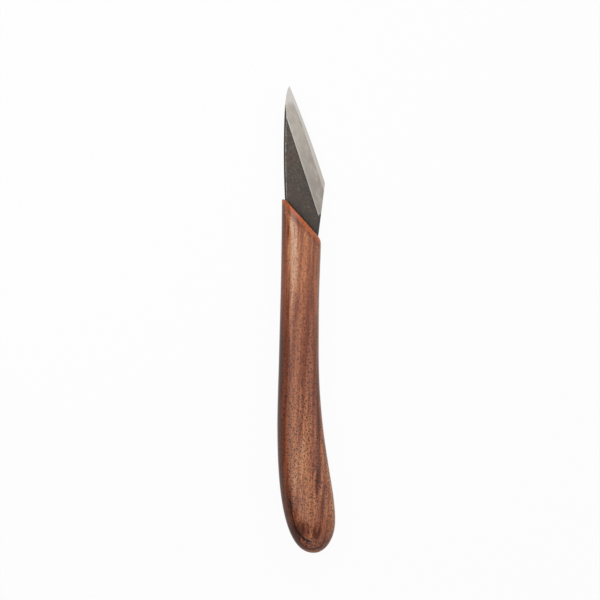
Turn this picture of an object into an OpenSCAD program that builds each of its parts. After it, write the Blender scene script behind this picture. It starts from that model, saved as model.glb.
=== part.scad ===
// Garden and grafting knife with a fixed, skewed, single-bevel blade.
// The blade is a soft iron body with a hard steel layer welded to its flat back. Its tang sits in a bed of
// resin inside a wooden handle, which is made of two hollowed halves glued together.
// X runs across the blade, from the spine to the heel, Y from the butt to the tip and Z out of the bevelled face.

/* [Blade] */
// Width across the blade, from the spine to the heel
blade_width = 16.5; // [13:0.1:20]
// Thickness of the whole blade
blade_thickness = 3; // [2:0.1:4]
// Thickness of the hard steel layer on the flat back
steel_thickness = 0.65; // [0.4:0.05:1.2]
// Distance from the blade's axis to the spine
spine_offset = 6.5; // [5:0.1:8]
// Radius of the spine's slow bow
spine_radius = 380; // [250:10:800]
// Distance from the mouth to the fullest point of the spine
spine_bow_reach = 25.4; // [15:0.1:35]
// Distance from the mouth to the heel corner
heel_reach = 13.3; // [10:0.1:20]
// Angle by which the heel side narrows towards the handle
heel_taper = 7.2; // [3:0.1:10]
// Angle between the cutting edge and the blade's axis
edge_angle = 20; // [15:0.1:30]
// Radius of the cutting edge's slight belly
edge_radius = 440; // [200:10:900]
// Width of the flat bevel, square to its shoulder
bevel_width = 6.4; // [4.5:0.1:8]
// Angle by which the bevel's straight shoulder lies closer to the axis than the edge does
shoulder_skew = 1.9; // [0:0.1:3]
// Angle by which the honed strip along the edge is steeper than the bevel
honing = 6; // [3:0.5:10]
// Distance of the tip inside the line of the spine
tip_inset = 2.3; // [1.5:0.1:4]
// Length over which the spine turns in towards the tip
tip_turn = 10; // [6:0.5:14]
// Size of the rounded nose just behind the tip
tip_nose = 1.3; // [0.5:0.1:1.4]
// Width of the chamfers along the front face
chamfer_width = 0.85; // [0.3:0.05:1.2]
// Depth of the chamfers along the front face
chamfer_depth = 0.5; // [0.2:0.05:0.9]

/* [Tang] */
// Length of the tang inside the handle, from the mouth
tang_length = 62; // [40:1:80]
// Distance from the mouth back to the tang's shoulders
shoulder_setback = 17; // [14:0.5:24]
// Width of each shoulder where the tang begins
shoulder_width = 0.8; // [0.4:0.1:1.5]
// Width of the tang at its end
tang_end_width = 6; // [4:0.5:8]
// Thickness of the resin round the tang
bed_gap = 0.3; // [0.2:0.05:0.6]
// Distance of the resin behind the mouth
bed_setback = 1.5; // [0.5:0.1:4]
// Clearance between the mouth and the end of the hard steel
steel_setback = 1.6; // [1:0.1:4]

/* [Handle] */
// Length from the butt to the mouth, along the blade's axis
handle_length = 134.6; // [125:0.1:155]
// Thickness from front to back
handle_thickness = 14; // [11:0.5:18]
// Squareness of the cross-section, where 2 is an ellipse
section_power = 2.4; // [2:0.1:3.2]
// Wood left beside the blade at the mouth
mouth_wall = 0.9; // [0.7:0.05:2]
// Slant of the mouth, from square to the axis
mouth_angle = 48; // [30:1:55]
// Length over which the cross-sections turn from square to the mouth's slant
slant_run = 45; // [30:1:60]
// Radius of the rounded rim at the mouth
mouth_radius = 1.5; // [0.8:0.1:2]
// Distance from the axis to the middle of the butt
butt_offset = 5.5; // [0:0.1:8]
// Length of the butt's rounding, seen from the side
butt_round = 22; // [14:0.5:35]
// Distance from the axis to the fullest point of the spine side
spine_swell = 9.1; // [8.5:0.1:12]
// Distance from the butt to the fullest point of the spine side
spine_swell_reach = 51; // [40:1:65]
// Distance from the axis to the fullest point of the palm side
palm_swell = 14.1; // [11:0.1:18]
// Distance from the butt to the fullest point of the palm side
palm_swell_reach = 13; // [9:0.5:20]
// Distance from the axis to the waist on the palm side
waist = 7.5; // [6.5:0.1:9]
// Distance from the butt to the waist
waist_reach = 81; // [70:1:95]

/* [Hidden] */

// How far a shape runs past what it cuts or joins
past = 1;
// Larger than the whole knife
reach = 300;

// Steps along one curve of an outline, sides of half a cross-section, and rings along the handle
curve_steps = 48;
half_sides = 24;
butt_rings = 14;
body_rings = 34;
rim_rings = 6;
cone_fn = 720;
tang_end_fn = 48;

// How far each quarter of the butt is drawn out, as shares of its width and its length
spine_butt_pull = [0.82, 0.52];
palm_butt_pull = [0.55, 0.55];
// How far each side's curve is drawn out at its lower and upper ends, as shares of its length
spine_pull = [0.13, 0.39];
palm_pull = [0.22, 0.54];
neck_pull = [0.65, 0.2];
// Squareness of the butt's rounding, seen from the side
butt_power = 2.2;

// Blade faces and corners
back_z = -blade_thickness / 2;
front_z = blade_thickness / 2;
mouth_slope = tan(mouth_angle);
heel = [blade_width - spine_offset, handle_length + heel_reach];
tip_x = tip_inset - spine_offset;
tip = [tip_x, heel.y + (heel.x - tip_x) / tan(edge_angle)];
spine_centre = [spine_radius - spine_offset, handle_length + spine_bow_reach];
shoulder_y = handle_length - shoulder_setback;
tang_end_y = handle_length - tang_length;

function spine_x(y) = spine_centre.x - sqrt(pow(spine_radius, 2) - pow(y - spine_centre.y, 2));
function heel_x(y) = heel.x - (heel.y - y) * tan(heel_taper);

// Centre of the cutting edge's arc, on the spine side of the chord from tip to heel
chord = heel - tip;
chord_in = [chord.y, -chord.x] / norm(chord);
edge_centre = (tip + heel) / 2 + chord_in * sqrt(pow(edge_radius, 2) - pow(norm(chord) / 2, 2));
bevel_angle = atan(blade_thickness / bevel_width);

// Neck of the handle, which leaves the mouth's wall beside the blade
neck_spine_x = spine_x(handle_length + mouth_slope * spine_offset) - bed_gap - mouth_wall;
neck_palm_x = heel_x(handle_length - mouth_slope * heel_x(handle_length)) + bed_gap + mouth_wall;
neck_spine = [neck_spine_x, handle_length - mouth_slope * neck_spine_x];
neck_palm = [neck_palm_x, handle_length - mouth_slope * neck_palm_x];

function bezier(a, b, c, d) = [
    for (i = [1:curve_steps])
        let (t = i / curve_steps)
            pow(1 - t, 3) * a + 3 * pow(1 - t, 2) * t * b + 3 * (1 - t) * t * t * c + pow(t, 3) * d
];

// A quarter of the butt, from its end to a side's fullest point
function butt_quarter(side, pull) = bezier(
    [butt_offset, 0],
    [butt_offset + pull.x * (side.x - butt_offset), 0],
    [side.x, side.y * (1 - pull.y)],
    side
);

// A side's run between two points where it lies along the axis
function side_run(low, high, pull) = bezier(
    low,
    [low.x, low.y + pull[0] * (high.y - low.y)],
    [high.x, high.y - pull[1] * (high.y - low.y)],
    high
);

butt = [butt_offset, 0];
spine_fullest = [-spine_swell, spine_swell_reach];
palm_fullest = [palm_swell, palm_swell_reach];
palm_waist = [waist, waist_reach];
spine_side = concat(
    [butt],
    butt_quarter(spine_fullest, spine_butt_pull),
    side_run(spine_fullest, neck_spine, spine_pull)
);
palm_side = concat(
    [butt],
    butt_quarter(palm_fullest, palm_butt_pull),
    side_run(palm_fullest, palm_waist, palm_pull),
    side_run(palm_waist, neck_palm, neck_pull)
);
spine_table = [for (p = spine_side) [p.y, p.x]];
palm_table = [for (p = palm_side) [p.y, p.x]];

// Origin under the middle of the knife's box, where it rests on a table
low_x = min([for (p = spine_side) p.x]);
high_x = max([heel.x, for (p = palm_side) p.x]);
origin = [(low_x + high_x) / 2, tip.y / 2, -handle_thickness / 2];

// Cross-sections of the handle
function signed_pow(v, e) = sign(v) * pow(abs(v), e);
function ease(u) = u <= 0 ? 0 : u >= 1 ? 1 : u * u * (3 - 2 * u);
function butt_share(y) = y >= butt_round ? 1 : pow(1 - pow(1 - y / butt_round, butt_power), 1 / butt_power);

// Front half of the cross-section at y on the axis, drawn in by inset, from the palm side to the spine side
function half_ring(y, inset) =
    let (
        slant = mouth_slope * ease(1 - (handle_length - y) / slant_run),
        spine_y = y - slant * neck_spine.x,
        palm_y = y - slant * neck_palm.x,
        spine = [lookup(spine_y, spine_table), spine_y],
        palm = [lookup(palm_y, palm_table), palm_y],
        half_width = norm(palm - spine) / 2,
        half_height = handle_thickness / 2 * butt_share(y)
    ) [
        for (i = [0:half_sides])
            let (
                angle = 180 * i / half_sides,
                across = signed_pow(cos(angle), 2 / section_power) * (1 - inset / half_width),
                up = pow(sin(angle), 2 / section_power) * (half_height - inset),
                p = (palm + spine) / 2 + across * (palm - spine) / 2
            ) [p.x, p.y, up]
    ];

rim_y = handle_length - mouth_radius;
rings = concat(
    [for (i = [1:butt_rings]) half_ring(butt_round * (1 - cos(90 * i / butt_rings)), 0)],
    [for (i = [1:body_rings]) half_ring(butt_round + (rim_y - butt_round) * i / body_rings, 0)],
    [
        for (i = [1:rim_rings])
            let (angle = 90 * i / rim_rings)
                half_ring(rim_y + mouth_radius * sin(angle), mouth_radius * (1 - cos(angle)))
    ]
);

// Half of the handle in front of the plane of the blade, with no hollow
module solid_half() {
    last = len(rings) - 1;
    at = function (i, j) 1 + i * (half_sides + 1) + j;
    points = concat([[butt.x, butt.y, 0]], [for (ring = rings) each ring]);
    butt_skin = [for (j = [0:half_sides - 1]) [0, at(0, j + 1), at(0, j)]];
    skin = [
        for (i = [0:last - 1], j = [0:half_sides - 1])
            each [
                [at(i, j), at(i + 1, j + 1), at(i + 1, j)],
                [at(i, j), at(i, j + 1), at(i + 1, j + 1)]
            ]
    ];
    butt_parting = [[0, at(0, 0), at(0, half_sides)]];
    parting = [
        for (i = [0:last - 1])
            each [
                [at(i, 0), at(i + 1, half_sides), at(i, half_sides)],
                [at(i, 0), at(i + 1, 0), at(i + 1, half_sides)]
            ]
    ];
    mouth = [for (j = [1:half_sides - 1]) [at(last, 0), at(last, j), at(last, j + 1)]];
    polyhedron(points, concat(butt_skin, skin, butt_parting, parting, mouth));
}

// Outline of the forged blank in front of the tang. It runs past the cutting edge, which the bevel cuts.
module blank_outline() {
    turn_y = tip.y - tip_turn;
    spine = [
        for (i = [0:curve_steps])
            let (y = shoulder_y + (turn_y - shoulder_y) * i / curve_steps) [spine_x(y), y]
    ];
    nose_corner = tip - tip_nose * [1, 1];
    nose = [
        for (i = [1:curve_steps])
            let (t = i / curve_steps)
                pow(1 - t, 2) * [spine_x(turn_y), turn_y] + 2 * (1 - t) * t * nose_corner + t * t * tip
    ];
    beyond = tip + past * [1, 1];
    heel_side = [[heel_x(beyond.y), beyond.y], [heel_x(shoulder_y), shoulder_y]];
    polygon(concat(spine, nose, [beyond], heel_side));
}

// Outline of the tang, from inside the blank to its round end
module tang_outline() {
    left = [spine_x(shoulder_y) + shoulder_width, shoulder_y + past];
    right = [heel_x(shoulder_y) - shoulder_width, shoulder_y + past];
    end = [(left.x + right.x) / 2, tang_end_y + tang_end_width / 2];
    half = [tang_end_width / 2, 0];
    polygon([left, right, end + half, end - half]);
    translate(end) circle(d = tang_end_width, $fn = tang_end_fn);
}

// Everything inside a wide upright cone that has the given radius at height z and narrows upwards by slope
module inside_cone(centre, radius, z, slope) {
    low = back_z - past;
    high = front_z + past;
    translate([centre.x, centre.y, low])
        cylinder(r1 = radius + slope * (z - low), r2 = radius - slope * (high - z), h = high - low, $fn = cone_fn);
}

// Everything on the blade's side of the flat bevel, whose foot touches the edge's arc, and of the honed strip,
// which carries the edge on round that arc to the tip and the heel
module inside_bevel() {
    intersection() {
        inside_cone(edge_centre, edge_radius, back_z, 1 / tan(bevel_angle + honing));
        translate([edge_centre.x, edge_centre.y, back_z])
            rotate(edge_angle - shoulder_skew)
                translate([edge_radius, 0, 0])
                    rotate([0, bevel_angle - 90, 0])
                        translate([-reach, -reach / 2, -reach / 2]) cube(reach);
    }
}

// Everything inside the chamfers along the spine and the heel side
module inside_chamfers() {
    slope = chamfer_width / chamfer_depth;
    foot_z = front_z - chamfer_depth;
    intersection() {
        inside_cone(spine_centre, spine_radius, foot_z, slope);
        translate([heel.x, heel.y, foot_z])
            rotate(-heel_taper)
                rotate([0, -atan(slope), 0])
                    translate([-reach, -reach / 2, -reach / 2]) cube(reach);
    }
}

// Everything in front of the mouth by at least the given distance, between two heights
module ahead_of_mouth(distance, low, high) {
    translate([0, handle_length, low])
        rotate(-mouth_angle)
            translate([-reach, distance, 0]) cube([2 * reach, reach, high - low]);
}

// Place of the hard steel on the flat back
module steel_zone() {
    ahead_of_mouth(steel_setback, back_z - past, back_z + steel_thickness);
}

// Blade and tang, with no split between the iron and the steel
module whole_blade() {
    intersection() {
        linear_extrude(blade_thickness, center = true) blank_outline();
        inside_bevel();
        inside_chamfers();
    }
    linear_extrude(blade_thickness, center = true) tang_outline();
}

// Hollow in the handle for the blank's root, the tang and the resin round them
module tang_hollow() {
    linear_extrude(blade_thickness + 2 * bed_gap, center = true)
        offset(delta = bed_gap) {
            blank_outline();
            tang_outline();
        }
}

module hollowed_half() {
    difference() {
        solid_half();
        tang_hollow();
    }
}

// Moves the knife so that its origin is under the middle of its box
module placed() {
    translate(-origin) children();
}

module handle_front_half() {
    color("sienna") placed() hollowed_half();
}

module handle_back_half() {
    color("saddlebrown") placed() mirror([0, 0, 1]) hollowed_half();
}

module blade_body() {
    color("dimgray")
        placed()
            difference() {
                whole_blade();
                steel_zone();
            }
}

module edge_steel() {
    color("silver")
        placed()
            intersection() {
                linear_extrude(blade_thickness, center = true) blank_outline();
                inside_bevel();
                steel_zone();
            }
}

module tang_bedding() {
    color("darkslategray")
        placed()
            difference() {
                tang_hollow();
                whole_blade();
                ahead_of_mouth(-bed_setback, -reach / 2, reach / 2);
            }
}

handle_front_half();
handle_back_half();
blade_body();
edge_steel();
tang_bedding();
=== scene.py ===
"""Garden knife: a laminated, single-bevel blade in a two-piece walnut handle, on a studio floor."""
import bisect
import functools
import math

import bmesh
import bpy
from bpy.props import FloatProperty, FloatVectorProperty, PointerProperty
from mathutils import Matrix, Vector, noise


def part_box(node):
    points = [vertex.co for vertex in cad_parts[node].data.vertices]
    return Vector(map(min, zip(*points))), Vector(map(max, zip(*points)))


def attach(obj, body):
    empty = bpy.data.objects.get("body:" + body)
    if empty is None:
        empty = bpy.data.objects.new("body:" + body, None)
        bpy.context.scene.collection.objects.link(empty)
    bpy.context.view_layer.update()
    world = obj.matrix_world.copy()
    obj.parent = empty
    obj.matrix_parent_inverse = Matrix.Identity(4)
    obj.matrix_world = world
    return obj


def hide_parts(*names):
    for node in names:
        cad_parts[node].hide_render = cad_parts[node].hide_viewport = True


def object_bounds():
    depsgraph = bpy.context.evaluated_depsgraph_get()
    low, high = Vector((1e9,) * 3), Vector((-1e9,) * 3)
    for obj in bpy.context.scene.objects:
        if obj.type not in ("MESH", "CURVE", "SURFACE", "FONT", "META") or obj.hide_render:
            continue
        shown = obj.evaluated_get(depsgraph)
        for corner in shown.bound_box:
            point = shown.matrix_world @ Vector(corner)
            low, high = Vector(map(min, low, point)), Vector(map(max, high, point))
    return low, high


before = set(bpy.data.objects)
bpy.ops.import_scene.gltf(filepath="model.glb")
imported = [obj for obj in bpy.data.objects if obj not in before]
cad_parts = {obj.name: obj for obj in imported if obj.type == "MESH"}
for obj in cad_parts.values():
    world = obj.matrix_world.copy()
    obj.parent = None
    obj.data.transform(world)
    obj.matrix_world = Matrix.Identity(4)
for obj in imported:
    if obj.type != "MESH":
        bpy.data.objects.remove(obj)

bl_info = {
    "name": "Garden Knife",
    "version": (1, 0, 0),
    "blender": (4, 5, 0),
    "location": "View3D > Sidebar > Knife",
    "description": "Builds a garden knife's handle, blade and studio floor round its fixed frame",
    "category": "Add Mesh",
}

CAD_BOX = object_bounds()
BODY = "root"
MM = 0.001

# Places that the frame gives: the butt, the glued plane between the halves, and the blade's two faces
FRONT_LOW, FRONT_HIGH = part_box("handle_front_half")
BACK_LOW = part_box("handle_back_half")[0]
IRON_LOW, IRON_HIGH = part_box("blade_body")
STEEL_LOW, STEEL_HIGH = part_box("edge_steel")
GLUE_Z = FRONT_LOW.z
HANDLE_THICKNESS = FRONT_HIGH.z - BACK_LOW.z
BLADE_THICKNESS = IRON_HIGH.z - IRON_LOW.z
STEEL_THICKNESS = STEEL_HIGH.z - STEEL_LOW.z
HANDLE_REACH = FRONT_HIGH.y - FRONT_LOW.y

# How far a piece may miss its node's box, how close points weld, and the points along curves
FIT_TOLERANCE = 0.6 * MM
WELD = 0.002 * MM
CURVE_STEPS = 160
HEEL_STEPS = 200
EDGE_NOISE = 1e-9
# Points round the blade: on the spine, on three runs of the edge, on the heel side and on the tang's end
BLADE_COUNTS = (120, (50, 60, 16), 40, 16)


def hex_to_linear(text):
    """sRGB hex colour to the linear colour that Blender's sockets take, with full alpha."""
    shares = [int(text[i:i + 2], 16) / 255 for i in (1, 3, 5)]
    linear = [s / 12.92 if s <= 0.04045 else ((s + 0.055) / 1.055) ** 2.4 for s in shares]
    return (*linear, 1.0)


def length(name, description, millimetres):
    return FloatProperty(
        name=name, description=description, default=millimetres * MM, unit="LENGTH", precision=5)


def angle(name, description, degrees):
    return FloatProperty(
        name=name, description=description, default=math.radians(degrees), subtype="ANGLE")


def share(name, description, value):
    return FloatProperty(
        name=name, description=description, default=value, min=0.0, max=1.0, subtype="FACTOR")


def brightness(name, description, cards):
    return FloatProperty(name=name, description=f"{description}, in white cards", default=cards, min=0.0)


def colour(name, description, text):
    return FloatVectorProperty(
        name=name, description=description, default=hex_to_linear(text), size=4, min=0.0, max=1.0,
        subtype="COLOR")


class HandleSettings(bpy.types.PropertyGroup):
    """Sizes of the wooden handle, with the blade's axis at X 0 and the butt at Y 0."""
    handle_length: length("Length", "From the butt to the mouth, along the blade's axis", 134.6)
    section_power: FloatProperty(
        name="Squareness", description="Squareness of the cross-section, where 2 is an ellipse", default=2.4)
    mouth_wall: length("Mouth wall", "Wood left beside the blade at the mouth", 0.9)
    mouth_angle: angle("Mouth slant", "Slant of the mouth, from square to the axis", 48)
    slant_run: length("Slant run", "Length over which the sections turn to the mouth's slant", 45)
    mouth_radius: length("Rim radius", "Radius of the rounded rim at the mouth", 1.5)
    corner_blunt: length("Corner blunting", "Length of the mouth's acute corner that is blunted", 0.9)
    butt_offset: length("Butt offset", "From the axis to the middle of the butt", 5.5)
    butt_round: length("Butt rounding", "Length of the butt's rounding, seen from the side", 22)
    butt_power: FloatProperty(
        name="Butt squareness", description="Squareness of the butt's rounding, from the side", default=2.2)
    spine_swell: length("Spine swell", "From the axis to the fullest point of the spine side", 9.1)
    spine_swell_reach: length("Spine swell reach", "From the butt to the spine side's fullest point", 51)
    palm_swell: length("Palm swell", "From the axis to the fullest point of the palm side", 14.1)
    palm_swell_reach: length("Palm swell reach", "From the butt to the palm side's fullest point", 13)
    waist: length("Waist", "From the axis to the waist on the palm side", 7.5)
    waist_reach: length("Waist reach", "From the butt to the waist", 81)
    hand_finish: length("Hand finish", "Height of the slow unevenness that hand sanding leaves", 0.05)
    hand_finish_length: length("Hand finish length", "Length of that unevenness along the handle", 16)


class BladeSettings(bpy.types.PropertyGroup):
    """Sizes of the blade and its tang, in the same place as the handle."""
    blade_width: length("Width", "Across the blade, from the spine to the heel", 16.5)
    spine_offset: length("Spine offset", "From the blade's axis to the spine", 6.5)
    spine_radius: length("Spine radius", "Radius of the spine's slow bow", 380)
    spine_bow_reach: length("Spine bow reach", "From the mouth to the fullest point of the spine", 25.4)
    heel_reach: length("Heel reach", "From the mouth to the heel corner", 13.3)
    heel_taper: angle("Heel taper", "Angle by which the heel side narrows towards the handle", 7.2)
    edge_angle: angle("Edge angle", "Angle between the cutting edge and the blade's axis", 20)
    edge_radius: length("Edge radius", "Radius of the cutting edge's slight belly", 440)
    bevel_width: length("Bevel width", "Width of the flat bevel, square to its shoulder", 6.4)
    shoulder_skew: angle("Shoulder skew", "How much closer to the axis than the edge the shoulder lies", 1.9)
    honing: angle("Honing", "Angle by which the honed strip along the edge is steeper than the bevel", 6)
    tip_inset: length("Tip inset", "Distance of the tip inside the line of the spine", 2.3)
    tip_turn: length("Tip turn", "Length over which the spine turns in towards the tip", 10)
    tip_nose: length("Tip nose", "Size of the rounded nose just behind the tip", 1.3)
    chamfer_width: length("Chamfer width", "Width of the chamfers along the front face", 0.85)
    chamfer_depth: length("Chamfer depth", "Depth of the chamfers along the front face", 0.5)
    corner_round: length("Corner rounding", "Rounding that filing leaves on the blade's corners", 0.08)
    shoulder_round: length("Shoulder rounding", "Width of the soft line where the bevel meets the face", 0.45)
    weld_wave: length("Weld wave", "Height of the wander in the weld between iron and steel", 0.05)
    weld_wave_length: length("Weld wave length", "Length of that wander along the weld", 5)
    tang_length: length("Tang length", "Length of the tang inside the handle, from the mouth", 62)
    shoulder_setback: length("Shoulder setback", "From the mouth back to the tang's shoulders", 17)
    shoulder_width: length("Shoulder width", "Width of each shoulder where the tang begins", 0.8)
    tang_end_width: length("Tang end width", "Width of the tang at its end", 6)
    bed_gap: length("Bed gap", "Thickness of the resin round the tang", 0.3)
    steel_setback: length("Steel setback", "Clearance between the mouth and the end of the steel", 1.6)


class FinishSettings(bpy.types.PropertyGroup):
    """Colours of the knife's materials."""
    # The palest tone also paints the highlight on the neck
    wood_pale: colour("Pale wood", "Walnut in its palest streaks", "#BE9D82")
    wood_warm: colour("Warm wood", "Walnut in its lighter, warmer growth", "#B1744F")
    wood_light: colour("Light wood", "Walnut between its growth streaks", "#996046")
    wood_middle: colour("Middle wood", "Most of the walnut", "#7B4431")
    wood_dark: colour("Dark wood", "Walnut in its growth streaks", "#50291B")
    wood_pore: colour("Pores", "Finish and dust in the walnut's open pores", "#2A2422")
    # The rim's colour is a painted highlight on the mouth's rounded rim
    wood_rim_highlight: colour("Mouth rim", "Walnut under thicker lacquer on the mouth's rim", "#AC5528")
    lacquer: colour("Lacquer", "Tint of the lacquer where it stands thickest", "#FFEBC8")
    scale_light: colour("Light scale", "Forge scale where handling has rubbed it", "#58524B")
    scale_middle: colour("Forge scale", "Oxide left on the blade by forging and quenching", "#4B433B")
    scale_dark: colour("Dark scale", "Forge scale in its darker clouds", "#3A342F")
    scale_brown: colour("Brown scale", "Forge scale where it has begun to rust", "#553F33")
    scale_thick: colour("Thick scale", "Forge scale in the chamfers, which nothing has rubbed", "#26211E")
    iron: colour("Ground iron", "Soft iron where the bevel is ground", "#ADA69D")
    iron_dull: colour("Dull iron", "Ground iron in its duller clouds", "#928B84")
    steel: colour("Edge steel", "Hard steel, which takes a brighter polish", "#D2CECA")
    resin: colour("Resin", "Dark resin in the gap round the tang", "#1C1A19")


class StageSettings(bpy.types.PropertyGroup):
    """Floor, lights and camera."""
    view_width: length("View width", "Width of the view at the height of the blade", 240)
    lens: FloatProperty(name="Lens", description="Focal length of the camera", default=100.0, unit="CAMERA")
    view_reach: length("View reach", "From the butt to the middle of the view", 101.12)
    sweep_width: length("Sweep width", "Width of the round floor", 8000)
    sweep_rise: length("Sweep rise", "Height to which the floor's rim curves up", 900)
    sweep: colour("Sweep", "Matt pale floor", "#C8C8C8")
    sweep_white: share("Sweep whitening", "Share of the floor's look that is plain white", 0.95)
    room: colour("Room", "Dim studio round the floor", "#898989")
    key: brightness("Key", "Brightness of the softbox beyond the tip", 6.8)
    overhead: brightness("Overhead", "Brightness of the long softbox above the knife", 0.5)
    glow: brightness("Glow", "Added brightness of the overhead softbox's spine side", 0.8)
    accent: brightness("Accent", "Brightness of the small softbox on the spine's side", 3.6)
    fill: brightness("Fill", "Brightness of the pale screen on the palm's side", 0.7)
    back: brightness("Back", "Brightness of the pale screen beyond the butt", 0.5)


def bezier(a, b, c, d):
    """Points along a cubic curve, without its first point."""
    points = []
    for i in range(1, CURVE_STEPS + 1):
        t = i / CURVE_STEPS
        u = 1 - t
        points.append(u ** 3 * a + 3 * u * u * t * b + 3 * u * t * t * c + t ** 3 * d)
    return points


def even_points(line, count):
    """The line drawn again with evenly spaced points."""
    runs = [0.0]
    for a, b in zip(line, line[1:]):
        runs.append(runs[-1] + (b - a).length)
    points = []
    for i in range(count):
        run = runs[-1] * i / (count - 1)
        at = min(max(bisect.bisect_left(runs, run), 1), len(line) - 1)
        part = (run - runs[at - 1]) / (runs[at] - runs[at - 1])
        points.append(line[at - 1].lerp(line[at], part))
    return points


def skin(rows, count, closed, first=0):
    """Faces between neighbouring rows of count points each, which may be closed rings."""
    faces = []
    for i in range(rows - 1):
        for j in range(count if closed else count - 1):
            a, b = first + i * count + j, first + i * count + (j + 1) % count
            faces.append([a, b, b + count, a + count])
    return faces


def mesh_object(name, vertices, faces, materials, face_materials=None):
    """A new object, with points that coincide welded and its faces wound outwards."""
    mesh = bpy.data.meshes.new(name)
    mesh.from_pydata(vertices, [], faces)
    for material in materials:
        mesh.materials.append(material)
    if face_materials:
        mesh.polygons.foreach_set("material_index", face_materials)
    work = bmesh.new()
    work.from_mesh(mesh)
    bmesh.ops.remove_doubles(work, verts=work.verts, dist=WELD)
    bmesh.ops.recalc_face_normals(work, faces=work.faces)
    work.to_mesh(mesh)
    work.free()
    made = bpy.data.objects.new(name, mesh)
    bpy.context.scene.collection.objects.link(made)
    return made


def cut(piece, cutter, operation):
    """Cuts a piece with another, then removes the cutter."""
    step = piece.modifiers.new("cut", "BOOLEAN")
    step.operation = operation
    step.solver = "EXACT"
    step.object = cutter
    graph = bpy.context.evaluated_depsgraph_get()
    made = bpy.data.meshes.new_from_object(piece.evaluated_get(graph))
    piece.modifiers.remove(step)
    old = piece.data
    piece.data = made
    bpy.data.meshes.remove(old)
    bpy.data.objects.remove(cutter)
    if not made.polygons:
        raise RuntimeError(f"the cut left nothing of {piece.name}")


def smooth(piece, degrees):
    """Smooth shading that breaks at edges sharper than the angle."""
    piece.data.polygons.foreach_set("use_smooth", [True] * len(piece.data.polygons))
    piece.data.set_sharp_from_angle(angle=math.radians(degrees))
    weights = piece.modifiers.new("even normals", "WEIGHTED_NORMAL")
    weights.keep_sharp = True


def seat(piece, node):
    """Puts a finished piece in its node's place and tests that it fills the node's box."""
    low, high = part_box(node)
    corners = [piece.matrix_world @ v.co for v in piece.data.vertices]
    for axis in range(3):
        off = max(
            abs(min(c[axis] for c in corners) - low[axis]),
            abs(max(c[axis] for c in corners) - high[axis]))
        if off > FIT_TOLERANCE:
            raise RuntimeError(f"{piece.name} is {off / MM:.2f} mm off {node} along axis {axis}")
    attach(piece, BODY)
    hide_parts(node)


def frame_origin(handle):
    """Where the blade's axis crosses the butt, on the glued plane."""
    return Vector((FRONT_LOW.x + handle.spine_swell, FRONT_LOW.y, GLUE_Z))


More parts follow.
